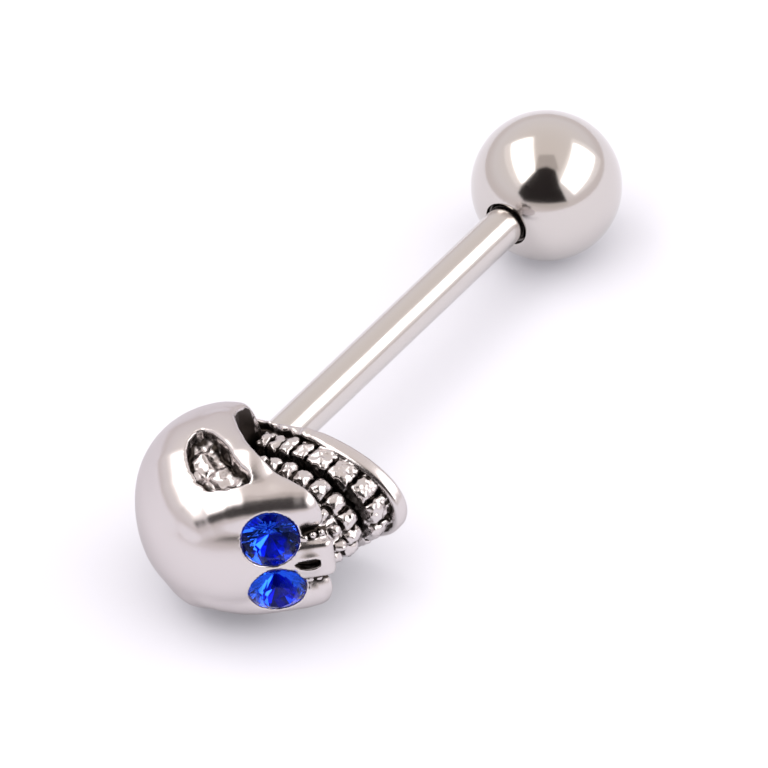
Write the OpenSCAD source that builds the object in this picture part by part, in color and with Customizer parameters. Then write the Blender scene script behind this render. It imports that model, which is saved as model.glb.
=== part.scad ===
// Straight tongue barbell: a steel bar with a screw-on ball at one end
// and a cast skull with two blue crystal eyes at the other.
// It is drawn about the bar's axis: x points out of the skull's jaw, y to the skull's left
// and z along the bar into the skull, with z = 0 at the underside of the jaw.
// It is then laid down on the skull's right side and the ball, as it rests on a table.

/* [Bar] */
// Diameter of the bar, 14 gauge
bar_d = 1.6; // [1.2:0.1:2]
// Wearable length between the ball and the jaw
bar_length = 16; // [10:0.5:22]
// Depth of the threaded post inside the skull
seat_depth = 3; // [1.5:0.25:4]
// How far the bar's shoulder is let into the underside of the skull
shoulder_depth = 0.12; // [0.05:0.01:0.15]
// Depth of the thread that is cut on both ends of the bar
thread_depth = 0.21; // [0.2:0.01:0.25]
// Length of the threaded post inside the ball
post_length = 2.3; // [1.5:0.1:2.6]
// Radial gap between two round pieces that fit each other
fit_gap = 0.03; // [0.02:0.01:0.06]

/* [Ball] */
// Diameter of the ball
ball_d = 6; // [5:0.25:8]
// Width of the open ring around the bar where it enters the ball
ring_gap = 0.13; // [0.05:0.01:0.3]
// Depth of that ring below the ball's surface
ring_depth = 0.35; // [0.15:0.05:0.5]
// Gap between the end of the post and the bottom of its bore
post_end_gap = 0.3; // [0.1:0.05:0.5]

/* [Head] */
// Overall width of the skull across its cheekbones
skull_width = 7.7; // [6.5:0.1:9]
// Length of the cranium, from the forehead to the back
head_length = 8.8; // [7.5:0.1:10]
// Height of the cranium
head_height = 8.1; // [7:0.1:9]
// Distance of the cranium's centre in front of the bar's axis
head_forward = 0.93; // [0.6:0.01:1.2]
// Distance of the cranium's centre above the underside of the jaw
head_up = 3.5; // [3.3:0.05:4]
// Angle by which the face looks up from the plane of the jaw
head_tilt = 50; // [45:1:55]
// Height of the flat base of the cranium above the underside of the jaw
base_up = 0.05; // [0:0.05:0.4]
// How far the cranium's sides round into that base
base_round = 2.7; // [1:0.1:4]
// Depth of the temple recess below the cheekbones
temple_depth = 1.1; // [0.6:0.05:1.3]
// Depth of the nose opening
nose_depth = 0.5; // [0.2:0.05:0.8]

/* [Jaw] */
// Height of the smooth rim of the lower jaw
jaw_rim = 0.9; // [0.6:0.05:1.2]
// Reach of the chin in front of the bar's axis
jaw_reach = 6.6; // [5.8:0.1:7.4]
// Width of the lower jaw
jaw_width = 4.35; // [3.6:0.05:5]
// Angle by which the cast jaw stands askew, towards the skull's right
jaw_turn = 6; // [0:1:8]
// Height of the lower teeth
lower_tooth = 1.15; // [0.8:0.05:1.4]
// Height of the upper teeth
upper_tooth = 1.25; // [0.8:0.05:1.5]
// Gap between the upper and lower teeth
bite_gap = 0.2; // [0.1:0.05:0.4]
// Number of teeth in each row
tooth_count = 12; // [8:2:14]
// Distance between two teeth along their row
tooth_pitch = 0.74; // [0.55:0.01:0.85]
// Thickness of a tooth from front to back
tooth_depth = 0.7; // [0.5:0.05:0.9]

/* [Stones] */
// Diameter of an eye stone
stone_d = 2.3; // [1.8:0.05:2.32]
// Distance between the centres of the two stones
stone_spacing = 2.42; // [2.4:0.02:2.8]
// Angle by which each stone looks outwards
stone_yaw = 12; // [6:1:20]
// Height of a stone's girdle above the middle of the cranium's front, along the face
stone_drop = 1.03; // [0.8:0.05:1.3]
// Distance of the stones' girdles in front of the cranium's centre
stone_forward = 4.05; // [3.9:0.05:4.3]
// Height of a stone's crown
crown_height = 0.38; // [0.25:0.01:0.5]
// Thickness of a stone's girdle
girdle_height = 0.06; // [0.04:0.01:0.1]
// Depth of a stone's pavilion below the girdle
pavilion_depth = 0.9; // [0.7:0.05:1.1]
// Gap between a stone and its seat
stone_gap = 0.02; // [0.01:0.01:0.04]

/* [Rest] */
// Angle by which the face turns up from level when the barbell lies on its side
rest_roll = 4; // [0:0.5:8]

/* [Hidden] */

steel = [0.8, 0.79, 0.78];
plated = [0.74, 0.73, 0.73];
sapphire = [0.05, 0.12, 0.75];

// Exact pieces are drawn with this many sides
$fn = 72;
over = 0.5;
bar_r = bar_d / 2;
post_r = bar_r - thread_depth;
ball_r = ball_d / 2;
ball_z = -bar_length - ball_r;

// The cranium is a full egg: this power is 2 for an ellipsoid, and more makes its sides flatter
egg_power = 2.15;
egg_width_share = 0.965;
// Half sizes of the head, and the lobes that blend into it, as shares of those half sizes.
// A lobe's place is its distance from the cranium's centre to the front, side and top of the face.
half = [head_length / 2, skull_width / 2, head_height / 2];
egg = [half.x, egg_width_share * half.y, half.z];
LOBE_PLACE = 0;
LOBE_SIZE = 1;
lobes = [
    // place: front, side, top   size: length, width, height
    // cheekbone
    [[0.34, 0.62, -0.24], [0.34, 0.38, 0.26]],
    // outer rim of the eye
    [[0.425, 0.48, -0.1], [0.4, 0.377, 0.5]],
    // cheek below the eye
    [[0.573, 0.49, -0.49], [0.31, 0.28, 0.27]],
    // upper jaw round the nose
    [[0.72, 0, -0.62], [0.3, 0.25, 0.26]],
    // face between the cheeks
    [[0.54, 0, -0.42], [0.42, 0.55, 0.33]],
];
lobe_blend = 0.5;
head_rings = 40;
head_sides = 80;

// Corners of the temple recess, as shares of the half length and half height from the cranium's
// centre, with the corner's radius as a share of the half height
CORNER_FRONT = 0;
CORNER_TOP = 1;
CORNER_R = 2;
temple_corners = [
    [0.148, 0.27, 0.17],
    [0.47, 0.24, 0.095],
    [0.52, -0.03, 0.095],
];
// The nose opening's narrow top and wide bottom, in the same shares
nose_corners = [
    [0.95, -0.51, 0.03],
    [0.99, -0.66, 0.07],
];

// Heights of the bite above the underside of the jaw
lower_top = jaw_rim + lower_tooth;
upper_bottom = lower_top + bite_gap;
upper_top = upper_bottom + upper_tooth;
cheek_line = upper_top + 0.45;
// Points of the open mouth in the skull's side view, as shares of the jaw's reach
// and of the height up to the cheeks
mouth_side = [
    [0.035, 0], [0.04, 0.1], [0.046, 0.2], [0.053, 0.36], [0.062, 0.52], [0.087, 0.64], [0.13, 0.73],
    [0.19, 0.82], [0.28, 0.91], [0.37, 0.97], [0.48, 1], [1.4, 1],
];

// The jaw and the rows of teeth follow arches: round at the front, and narrowing to the back
// through these points, as shares of the jaw's reach and of the arch's half width
arch_start = 0.4 * jaw_reach;
arch_back = [[0.3, 0.96], [0.2, 0.87], [0.1, 0.78], [0, 0.71], [-0.1, 0.64], [-0.19, 0.45]];
arch_power = 2.1;
arch_steps = 14;
tooth_inset = 0.42;
lower_arch = [jaw_width / 2 - tooth_inset, jaw_reach - 2 * tooth_inset];
upper_arch = [jaw_width / 2, jaw_reach - 3 * tooth_inset];
// Points across one tooth: place along the row as a share of the pitch,
// and how far the outline stands out there as a share of the tooth's thickness
tooth_line = [[-0.5, -0.5], [-0.38, 0.25], [-0.24, 0.45], [0, 0.5], [0.24, 0.45], [0.38, 0.25]];
// The rows of teeth from the floor of the mouth up: height, arch, share of the teeth's bulge
// that is left there, and inset of the whole row as a share of the teeth's thickness
HEIGHT = 0;
ROW = 1;
BULGE = 2;
INSET = 3;
bite_levels = [
    [0.15 * jaw_rim, lower_arch, 1, 0],
    [lower_top - 0.3 * lower_tooth, lower_arch, 1, 0],
    [lower_top - 0.08 * lower_tooth, lower_arch, 0.8, 0.1],
    [lower_top, lower_arch, 0.5, 0.3],
    [lower_top + 0.2 * bite_gap, lower_arch, 0, 0.7],
    [upper_bottom - 0.2 * bite_gap, upper_arch, 0, 0.7],
    [upper_bottom, upper_arch, 0.5, 0.3],
    [upper_bottom + 0.08 * upper_tooth, upper_arch, 0.8, 0.1],
    [upper_bottom + 0.3 * upper_tooth, upper_arch, 1, 0],
    [upper_top, upper_arch, 1, 0],
    [cheek_line + over, upper_arch, 0.5, 0],
];
// Sections of the lower jaw: height as a share of the rim, and inset in shares of the rim
jaw_sections = [[0, 0.3], [0.1, 0.12], [0.3, 0], [0.65, 0], [0.9, 0.1], [1, 0.25]];
// The rim is low at the back of the jaw: share of the reach, then share of the rim's full height
rim_heights = [[-0.19, 0.3], [0.06, 0.34], [0.3, 0.8], [0.45, 1], [1, 1]];

// Places on a stone as shares of its radius and its crown's height
table_share = 0.56;
star_share = 0.8;
star_height = 0.55;
stone_sides = 16;

function flat(lists) = [for (list = lists) each list];
function sum(numbers) = numbers * [for (n = numbers) 1];

// Turns a place in the face's own axes into the barbell's
function from_face(p) = [
    p.x * cos(head_tilt) - p.z * sin(head_tilt) + head_forward,
    p.y,
    p.x * sin(head_tilt) + p.z * cos(head_tilt) + head_up,
];

// Distance from the cranium's centre to the far side of one lobe, or 0 where the ray misses it
function lobe_reach(lobe, ray) =
    let (
        size = [for (i = [0:2]) lobe[LOBE_SIZE][i] * half[i]],
        place = [for (i = [0:2]) lobe[LOBE_PLACE][i] * half[i] / size[i]],
        step = [for (i = [0:2]) ray[i] / size[i]],
        a = step * step,
        b = step * place,
        inside = b * b - a * (place * place - 1)
    )
    inside < 0 ? 0 : (b + sqrt(inside)) / a;

// The larger of two distances, rounded where they are nearly the same
function blend(a, b) =
    let (rest = max(lobe_blend - abs(a - b), 0))
    max(a, b) + rest * rest / (4 * lobe_blend);

function egg_reach(ray) =
    pow(sum([for (i = [0:2]) pow(abs(ray[i]) / egg[i], egg_power)]), -1 / egg_power);

function lobes_reach(ray, i = 0) =
    i == len(lobes)
    ? egg_reach(ray)
    : blend(lobe_reach(lobes[i], ray), lobes_reach(ray, i + 1));

// The lobes, cut off by the flat base with a rounded edge
function head_reach(ray) =
    let (
        down = ray * to_face([0, 0, -1]),
        base = down > 0.01 ? (head_up - base_up) / down : 9 * head_length,
        reach = lobes_reach(ray),
        rest = max(base_round - abs(base - reach), 0)
    )
    min(base, reach) - rest * rest / (4 * base_round);

function head_point(along, up) =
    let (
        ray = [cos(up) * cos(along), cos(up) * sin(along), sin(up)],
        reach = head_reach([ray.x, abs(ray.y), ray.z])
    )
    from_face(ray * reach);

// How far the head reaches along a direction that is given in the barbell's axes
function to_face(way) = [
    way.x * cos(head_tilt) + way.z * sin(head_tilt),
    way.y,
    way.z * cos(head_tilt) - way.x * sin(head_tilt),
];
function egg_support(way) =
    let (q = egg_power / (egg_power - 1), turned = to_face(way))
    from_face([0, 0, 0]) * way + pow(sum([for (i = [0:2]) pow(abs(turned[i]) * egg[i], q)]), 1 / q);
function lobe_support(lobe, side, way) =
    let (
        place = [for (i = [0:2]) lobe[LOBE_PLACE][i] * half[i] * (i == 1 ? side : 1)],
        turned = to_face(way)
    )
    from_face(place) * way + norm([for (i = [0:2]) turned[i] * lobe[LOBE_SIZE][i] * half[i]]);
function head_support(way) = max(
    egg_support(way),
    max([for (lobe = lobes) for (side = [-1, 1]) lobe_support(lobe, side, way)])
);

// Half outline of an arch from its front to its back, then the whole outline
function arch_half(width, reach) = concat(
    [
        for (i = [0:arch_steps])
            let (a = 90 * i / arch_steps)
            [
                arch_start + (reach - arch_start) * pow(cos(a), 2 / arch_power),
                width * pow(sin(a), 2 / arch_power),
            ]
    ],
    [for (p = arch_back) [p.x * jaw_reach, p.y * width]]
);
function arch(width, reach) =
    let (half_line = arch_half(width, reach), last = len(half_line) - 1)
    concat(
        [for (i = [last:-1:1]) [half_line[i].x, -half_line[i].y]],
        half_line
    );
function lengths(line, i = 0, so_far = 0) =
    i == len(line) - 1
    ? [so_far]
    : concat([so_far], lengths(line, i + 1, so_far + norm(line[i + 1] - line[i])));

// Outline of a row of teeth on an arch, the middle of the row at the front
function tooth_outline(row, bulge, inset) =
    let (
        line = arch(row.x, row.y),
        along = lengths(line),
        last = len(line) - 1,
        table_of_x = [for (i = [0:last]) [along[i], line[i].x]],
        table_of_y = [for (i = [0:last]) [along[i], line[i].y]],
        middle_of_row = along[last] / 2,
        half_row = tooth_count / 2 * tooth_pitch,
        back = middle_of_row - half_row,
        places = concat(
            [for (share = [0, 0.35, 0.7]) [share * back, 0]],
            [
                for (i = [0:tooth_count - 1])
                    for (p = tooth_line)
                        [middle_of_row - half_row + (i + 0.5 + p.x) * tooth_pitch, p.y]
            ],
            [[middle_of_row + half_row, tooth_line[0].y]],
            [for (share = [0.7, 0.35, 0]) [along[last] - share * back, 0]]
        )
    )
    [
        for (p = places)
            let (
                here = [lookup(p.x, table_of_x), lookup(p.x, table_of_y)],
                ahead = [lookup(p.x + 0.1, table_of_x), lookup(p.x + 0.1, table_of_y)],
                behind = [lookup(p.x - 0.1, table_of_x), lookup(p.x - 0.1, table_of_y)],
                way = (ahead - behind) / norm(ahead - behind)
            )
            here + [way.y, -way.x] * tooth_depth * (bulge * p.y - inset)
    ];

// Turns that lay the barbell on its side: first along the table, then with the skull's end raised
// until both the skull and the ball touch the table
down = [-sin(rest_roll), -cos(rest_roll), 0];
side_reach = head_support(down);
touch_z = head_up;
rest_pitch = asin((side_reach - ball_r) / (touch_z - ball_z));
function laid(p) =
    let (
        q = [-p.z, p.y * sin(rest_roll) - p.x * cos(rest_roll), p.y * cos(rest_roll) + p.x * sin(rest_roll)]
    )
    [
        q.x * cos(rest_pitch) + q.z * sin(rest_pitch),
        q.y,
        q.z * cos(rest_pitch) - q.x * sin(rest_pitch),
    ];
ball_place = laid([0, 0, ball_z]);
// The table's axes seen from the barbell's own
table_x = [sin(rest_pitch) * sin(rest_roll), sin(rest_pitch) * cos(rest_roll), -cos(rest_pitch)];
table_y = [-cos(rest_roll), sin(rest_roll), 0];
jaw_front = [
    for (p = arch(jaw_width / 2, jaw_reach))
        laid([
            p.x * cos(jaw_turn) + p.y * sin(jaw_turn),
            p.y * cos(jaw_turn) - p.x * sin(jaw_turn),
            jaw_rim / 2,
        ]).y
];
middle = [
    (ball_place.x + ball_r - head_support(-table_x)) / 2,
    (head_support(table_y) + min(jaw_front)) / 2,
    ball_place.z - ball_r,
];

module laid_down() {
    translate(-middle)
        rotate([0, rest_pitch, 0])
            rotate([90 - rest_roll, 0, 0])
                rotate([0, -90, 0])
                    children();
}

// A solid through closed rings of points, all of one length, from the lowest ring to the highest
module loft(rings) {
    sides = len(rings[0]);
    last = len(rings) - 1;
    polyhedron(
        points = flat(rings),
        faces = concat(
            [[for (i = [0:sides - 1]) i]],
            [
                for (r = [0:last - 1])
                    for (i = [0:sides - 1])
                        let (j = (i + 1) % sides)
                        each [
                            [r * sides + j, r * sides + i, (r + 1) * sides + i],
                            [r * sides + j, (r + 1) * sides + i, (r + 1) * sides + j],
                        ]
            ],
            [[for (i = [sides - 1:-1:0]) last * sides + i]]
        )
    );
}

module head() {
    rings = [
        for (r = [1:head_rings - 1])
            let (up = -90 + 180 * r / head_rings)
            [for (i = [0:head_sides - 1]) head_point(360 * i / head_sides, up)]
    ];
    bottom = (head_rings - 1) * head_sides;
    polyhedron(
        points = concat(flat(rings), [head_point(0, -90), head_point(0, 90)]),
        faces = flat([
            for (i = [0:head_sides - 1])
                let (j = (i + 1) % head_sides, top = (head_rings - 2) * head_sides)
                concat(
                    [[bottom, i, j], [bottom + 1, top + j, top + i]],
                    [
                        for (r = [0:head_rings - 3])
                            each [
                                [r * head_sides + j, r * head_sides + i, (r + 1) * head_sides + i],
                                [r * head_sides + j, (r + 1) * head_sides + i, (r + 1) * head_sides + j],
                            ]
                    ]
                )
        ])
    );
}

module face_frame() {
    translate([head_forward, 0, head_up])
        rotate([0, -head_tilt, 0])
            children();
}

module temple_recess(side) {
    middle_y = skull_width / 2 - temple_depth + head_length / 2;
    face_frame()
        hull()
            for (c = temple_corners)
                translate([c[CORNER_FRONT] * half.x, side * middle_y, c[CORNER_TOP] * half.z])
                    rotate([90, 0, 0])
                        cylinder(h = head_length, r = c[CORNER_R] * half.z, center = true, $fn = 24);
}

module nose_opening() {
    face_frame()
        hull()
            for (c = nose_corners)
                translate([c[CORNER_FRONT] * half.x, 0, c[CORNER_TOP] * half.z])
                    scale([nose_depth / (c[CORNER_R] * half.z), 1, 1])
                        sphere(r = c[CORNER_R] * half.z, $fn = 20);
}

module open_mouth() {
    rotate([90, 0, 0])
        linear_extrude(height = 2 * skull_width, center = true)
            polygon(concat(
                [[0, -head_height]],
                [for (p = mouth_side) [p.x * jaw_reach, p.y * cheek_line]],
                [[mouth_side[len(mouth_side) - 1].x * jaw_reach, -head_height]]
            ));
}

module lower_jaw() {
    loft([
        for (s = jaw_sections)
            [
                for (p = arch(jaw_width / 2 - s.y * jaw_rim, jaw_reach - s.y * jaw_rim))
                    [p.x, p.y, s.x * jaw_rim * lookup(p.x / jaw_reach, rim_heights)]
            ]
    ]);
}

// Both rows of teeth with the gums behind them, from the floor of the mouth up into the head
module teeth() {
    loft([
        for (level = bite_levels)
            [for (p = tooth_outline(level[ROW], level[BULGE], level[INSET])) [p.x, p.y, level[HEIGHT]]]
    ]);
}

module casting() {
    difference() {
        head();
        open_mouth();
        nose_opening();
        for (side = [-1, 1])
            temple_recess(side);
    }
    rotate([0, 0, -jaw_turn]) {
        lower_jaw();
        teeth();
    }
}

// Carries what it is given to one stone's place: z is then the stone's axis, with its girdle at 0
module at_stone(side) {
    face_frame()
        translate([stone_forward, side * stone_spacing / 2, -stone_drop])
            rotate([0, 0, side * stone_yaw])
                rotate([0, 90, 0])
                    children();
}

module stone_seat() {
    seat_r = stone_d / 2 + stone_gap;
    deep = pavilion_depth + stone_gap;
    rotate_extrude()
        polygon([
            [0, -deep - girdle_height / 2],
            [seat_r, -girdle_height / 2 - stone_gap],
            [seat_r, 2 * crown_height],
            [0, 2 * crown_height],
        ]);
}

module stone() {
    r = stone_d / 2;
    turn = 360 / stone_sides;
    function around(step, at_r, at_z, offset = 0) = [
        for (i = [0:step:stone_sides - 1])
            [at_r * cos(turn * (i + offset)), at_r * sin(turn * (i + offset)), at_z]
    ];
    crown_z = girdle_height / 2 + crown_height;
    star_z = girdle_height / 2 + star_height * crown_height;
    points = concat(
        around(1, r, -girdle_height / 2),
        around(1, r, girdle_height / 2),
        around(2, star_share * r, star_z, 1),
        around(2, table_share * r, crown_z),
        [[0, 0, -girdle_height / 2 - pavilion_depth]]
    );
    n = stone_sides;
    stars = 2 * n;
    table = stars + n / 2;
    culet = table + n / 2;
    polyhedron(
        points = points,
        faces = concat(
            [[for (i = [n / 2 - 1:-1:0]) table + i]],
            [
                for (i = [0:n - 1])
                    let (j = (i + 1) % n)
                    each [[culet, i, j], [j, i, n + i], [j, n + i, n + j]]
            ],
            [
                for (k = [0:n / 2 - 1])
                    let (
                    next = (k + 1) % (n / 2),
                    a = n + 2 * k,
                    b = n + 2 * k + 1,
                    c = n + (2 * k + 2) % n
                )
                    each [
                        [b, a, stars + k],
                        [c, b, stars + k],
                        [c, stars + k, stars + next],
                        [table + next, stars + next, stars + k],
                        [table + next, stars + k, table + k],
                    ]
            ]
        )
    );
}

module skull() {
    color(plated)
        laid_down()
            difference() {
                resize([0, skull_width, 0])
                    casting();
                translate([0, 0, -over])
                    cylinder(h = shoulder_depth + over + fit_gap, r = bar_r + fit_gap);
                translate([0, 0, -over])
                    cylinder(h = seat_depth + over + fit_gap, r = post_r + fit_gap);
                for (side = [-1, 1])
                    at_stone(side)
                        stone_seat();
            }
}

module bar() {
    shoulder_z = ball_z + ball_r - ring_depth + fit_gap;
    color(steel)
        laid_down() {
            translate([0, 0, shoulder_z])
                cylinder(h = shoulder_depth - shoulder_z, r = bar_r);
            translate([0, 0, shoulder_z - post_length])
                cylinder(h = seat_depth - shoulder_z + post_length, r = post_r);
        }
}

module ball() {
    floor_z = ball_r - ring_depth;
    color(steel)
        laid_down()
            translate([0, 0, ball_z])
                difference() {
                    sphere(r = ball_r);
                    translate([0, 0, floor_z])
                        cylinder(h = ball_r, r = bar_r + ring_gap);
                    translate([0, 0, floor_z - post_length - post_end_gap])
                        cylinder(h = post_length + post_end_gap + over, r = post_r + fit_gap);
                }
}

module stone_left() {
    color(sapphire)
        laid_down()
            at_stone(1)
                stone();
}

module stone_right() {
    color(sapphire)
        laid_down()
            at_stone(-1)
                stone();
}

skull();
bar();
ball();
stone_left();
stone_right();
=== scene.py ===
import math

import bmesh
import bpy
import numpy as np
from mathutils import Matrix, Vector


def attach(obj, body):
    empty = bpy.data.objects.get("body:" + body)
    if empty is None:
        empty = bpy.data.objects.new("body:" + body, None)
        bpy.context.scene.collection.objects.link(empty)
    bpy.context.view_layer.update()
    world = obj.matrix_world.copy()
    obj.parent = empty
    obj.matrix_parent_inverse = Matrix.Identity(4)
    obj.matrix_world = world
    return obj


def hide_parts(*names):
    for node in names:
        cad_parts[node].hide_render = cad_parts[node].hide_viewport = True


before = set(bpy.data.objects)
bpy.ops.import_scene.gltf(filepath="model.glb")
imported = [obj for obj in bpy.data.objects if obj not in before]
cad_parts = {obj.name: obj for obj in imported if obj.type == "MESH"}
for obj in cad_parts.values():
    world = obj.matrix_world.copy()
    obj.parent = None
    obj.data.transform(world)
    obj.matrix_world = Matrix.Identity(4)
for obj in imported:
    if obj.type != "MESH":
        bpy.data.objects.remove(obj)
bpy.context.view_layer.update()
MM = 0.001
FAR = 1e9

# Where the barbell lies: its own axes in the row frame, and the jaw's underside on the bar's axis
ROLL = math.radians(4)
AWAY = np.array([0.999571, 0.0, -0.029305])
PITCH = math.asin(-AWAY[2])
BALL_CENTRE = np.array([11.9234, 1.6109, 3.0])
BALL_TO_JAW = 19.0
UP = -AWAY
FRONT = np.array([math.sin(ROLL) * math.sin(PITCH), -math.cos(ROLL), math.sin(ROLL) * math.cos(PITCH)])
LEFT = np.array([math.cos(ROLL) * math.sin(PITCH), math.sin(ROLL), math.cos(ROLL) * math.cos(PITCH)])
JAW = BALL_CENTRE + BALL_TO_JAW * UP
AXES = np.stack([FRONT, LEFT, UP])

# Sizes in mm, as in the frame
BAR_R = 0.8
BALL_R = 3.0
RING_R = 0.93
RING_DEPTH = 0.35
POST_R = 0.59
POST_LENGTH = 2.3
SEAT_DEPTH = 3.0
BORE_R = 0.62
BORE_DEPTH = 2.6
STONE_R = 1.1
STONE_SPACING = 2.42
STONE_YAW = math.radians(12)
STONE_FRONT = 4.05
STONE_DROP = 1.1
CROWN = 0.38
GIRDLE = 0.06
PAVILION = 0.9

HEAD_FORWARD = 0.93
HEAD_UP = 3.5
TILT = math.radians(50)
HALF = (4.4, 3.85, 4.05)
EGG = (4.36, 3.68, 3.93)
EGG_POWER = 2.15
LOBES = [
    # place: front, side, top   size: length, width, height, as shares of the head's half sizes
    ((0.34, 0.62, -0.24), (0.26, 0.37, 0.26)),
    ((0.425, 0.48, -0.1), (0.4, 0.377, 0.5)),
    ((0.573, 0.49, -0.49), (0.31, 0.28, 0.27)),
    ((0.72, 0.0, -0.62), (0.3, 0.25, 0.26)),
    ((0.54, 0.0, -0.42), (0.42, 0.55, 0.33)),
]
LOBE_BLEND = 0.5
FLOOR_SIDE = 1.026
BASE_UP = 0.05
BASE_ROUND = 2.7
# A ray that falls less than this never meets the base
LEAST_FALL = 0.01
# The gap along a ray from the centre, times this, is about the true distance
HEAD_SLOPE = 0.93


def to_row(points):
    """Points in the barbell's own axes in mm, carried to the row frame in metres."""
    return (np.asarray(points) @ AXES + JAW) * MM


def face_axes(front, up):
    """Front and top in the tilted axes of the face."""
    x = front - HEAD_FORWARD
    z = up - HEAD_UP
    return x * math.cos(TILT) + z * math.sin(TILT), z * math.cos(TILT) - x * math.sin(TILT)


def from_face(points):
    """Points in the face's axes, carried to the barbell's."""
    p = np.asarray(points, float)
    c, s = math.cos(TILT), math.sin(TILT)
    return np.stack([p[..., 0] * c - p[..., 2] * s + HEAD_FORWARD, p[..., 1],
                     p[..., 0] * s + p[..., 2] * c + HEAD_UP], -1)


def join(a, b, k):
    """Union of two distances, rounded over k."""
    h = np.clip(0.5 + 0.5 * (b - a) / k, 0, 1)
    return b * (1 - h) + a * h - k * h * (1 - h)


def cut(a, b, k):
    """What is left of a where b is taken away, rounded over k."""
    return -join(-a, b, k)


def rising(x, start, length):
    """0 up to start, 1 from there plus length."""
    return np.clip((x - start) / length, 0, 1)


def falling(x, end, length):
    """0 from end on, 1 up to there less length."""
    return np.clip((end - x) / length, 0, 1)


def chain(p, nodes):
    """Distance to a chain of round cones; each node is x, y, z and radius."""
    best = np.full(len(p), FAR)
    for a, b in zip(nodes[:-1], nodes[1:]):
        a, b = np.array(a, float), np.array(b, float)
        way = b[:3] - a[:3]
        t = np.clip((p - a[:3]) @ way / (way @ way), 0, 1)
        off = np.linalg.norm(p - a[:3] - t[:, None] * way, axis=1)
        best = np.minimum(best, off - (a[3] + t * (b[3] - a[3])))
    return best


def polygon_distance(x, y, corners):
    """Signed distance to a closed polygon, negative inside."""
    best = np.full(x.shape, FAR)
    inside = np.zeros(x.shape, bool)
    for (ax, ay), (bx, by) in zip(corners, corners[1:] + corners[:1]):
        ex, ey = bx - ax, by - ay
        t = np.clip(((x - ax) * ex + (y - ay) * ey) / (ex * ex + ey * ey), 0, 1)
        best = np.minimum(best, (x - ax - t * ex) ** 2 + (y - ay - t * ey) ** 2)
        crosses = (ay > y) != (by > y)
        if abs(ey) > 1e-9:
            inside ^= crosses & (x < ax + (y - ay) * ex / ey)
    best = np.sqrt(best)
    return np.where(inside, -best, best)


def head_distance(front, side, up):
    """The bare head: an egg with lobes, flattened where it meets the jaw."""
    fx, fz = face_axes(front, up)
    r = np.sqrt(fx * fx + side * side + fz * fz) + 1e-9
    ray = (fx / r, side / r, fz / r)
    reach = sum((np.abs(ray[i]) / EGG[i]) ** EGG_POWER for i in range(3)) ** (-1 / EGG_POWER)
    for place, size in reversed(LOBES):
        half = [size[i] * HALF[i] for i in range(3)]
        step = [ray[i] / half[i] for i in range(3)]
        at = [place[i] * HALF[i] / half[i] for i in range(3)]
        a = sum(s * s for s in step)
        b = sum(s * q for s, q in zip(step, at))
        inside = b * b - a * (sum(q * q for q in at) - 1)
        lobe = np.where(inside > 0, (b + np.sqrt(np.maximum(inside, 0))) / a, 0)
        rest = np.maximum(LOBE_BLEND - np.abs(lobe - reach), 0)
        reach = np.maximum(lobe, reach) + rest * rest / (4 * LOBE_BLEND)
    down = -(ray[0] * math.sin(TILT) + ray[2] * math.cos(TILT))
    base = np.where(down > LEAST_FALL, (HEAD_UP - BASE_UP) / np.maximum(down, LEAST_FALL), FAR)
    rest = np.maximum(BASE_ROUND - np.abs(base - reach), 0)
    reach = np.minimum(base, reach) - rest * rest / (4 * BASE_ROUND)
    return (r - reach) * HEAD_SLOPE


# Corners of the temple recess in the face's side view: front and top in mm from the cranium's centre
RECESS = [(-0.12, 1.18), (-0.2, 0.88), (0.1, 0.55), (0.62, 0.25), (1.13, 0.0), (1.7, -0.15), (2.15, -0.38),
          (2.41, -0.62), (2.63, -0.7), (2.81, -0.6), (2.87, -0.27), (2.9, 0.22), (2.79, 0.7), (2.58, 1.05),
          (2.19, 1.33), (1.7, 1.52), (1.15, 1.6), (0.67, 1.58), (0.2, 1.45)]
RECESS_FLOOR = 2.75
# Ridge round the outside of the eye: front, side, top, radius, in the face's axes
BROW = [(2.77, 1.58, 1.3, 0.9), (2.83, 1.76, 0.8, 0.95), (2.87, 1.89, 0.2, 1.0), (2.93, 1.97, -0.4, 1.0),
        (2.94, 1.99, -1.0, 1.0), (2.94, 1.98, -1.6, 1.0), (2.94, 1.96, -2.1, 1.0), (2.95, 1.92, -2.48, 0.98),
        (2.97, 1.76, -2.7, 0.9)]
# Arch between the temple recess and the open mouth
ARCH = [(-0.9, 2.95, 0.2, 0.7), (0.0, 3.05, 0.1, 0.72), (0.7, 3.1, -0.15, 0.72), (1.35, 3.05, -0.4, 0.72),
        (2.0, 2.78, -0.75, 0.72), (2.35, 2.42, -1.2, 0.73), (2.62, 2.17, -1.8, 0.78)]
# Soft shoulder between the crown and the temple
SHOULDER = [(-0.8, 2.3, 1.7, 0.85), (0.5, 2.42, 2.0, 0.85), (1.5, 2.2, 1.95, 0.85), (2.1, 1.95, 1.8, 0.8)]
# Soft swelling behind the recess
SWELL_CENTRE = (-0.35, 3.5, 1.6)
SWELL_HEIGHT = 0.12
SWELL_WIDTH = 1.3
# Flat tab that carries the nose: centre, half sizes, rounding
NOSE_TAB = ((3.7, 0.0, -2.6), (0.6, 0.9, 0.86), 0.36)
NOSE_HOLE = [(0.0, -1.9), (0.15, -2.08), (0.22, -2.4), (0.21, -2.7), (0.1, -2.88), (-0.1, -2.88),
             (-0.21, -2.7), (-0.22, -2.4), (-0.15, -2.08)]
NOSE_HOLE_FLOOR = 4.02
# Notch beside the nose and the studs in it: front, side, top, radius, in the face's axes
NOTCH = [(4.25, 0.98, -2.05, 0.1), (4.25, 1.0, -2.5, 0.13), (4.1, 0.98, -3.0, 0.16), (3.8, 0.95, -3.5, 0.22)]
STUDS = [(3.98, 1.0, -2.12, 0.13), (3.98, 0.98, -2.42, 0.14), (3.9, 1.02, -2.74, 0.15),
         (3.72, 0.95, -3.05, 0.17)]
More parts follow.
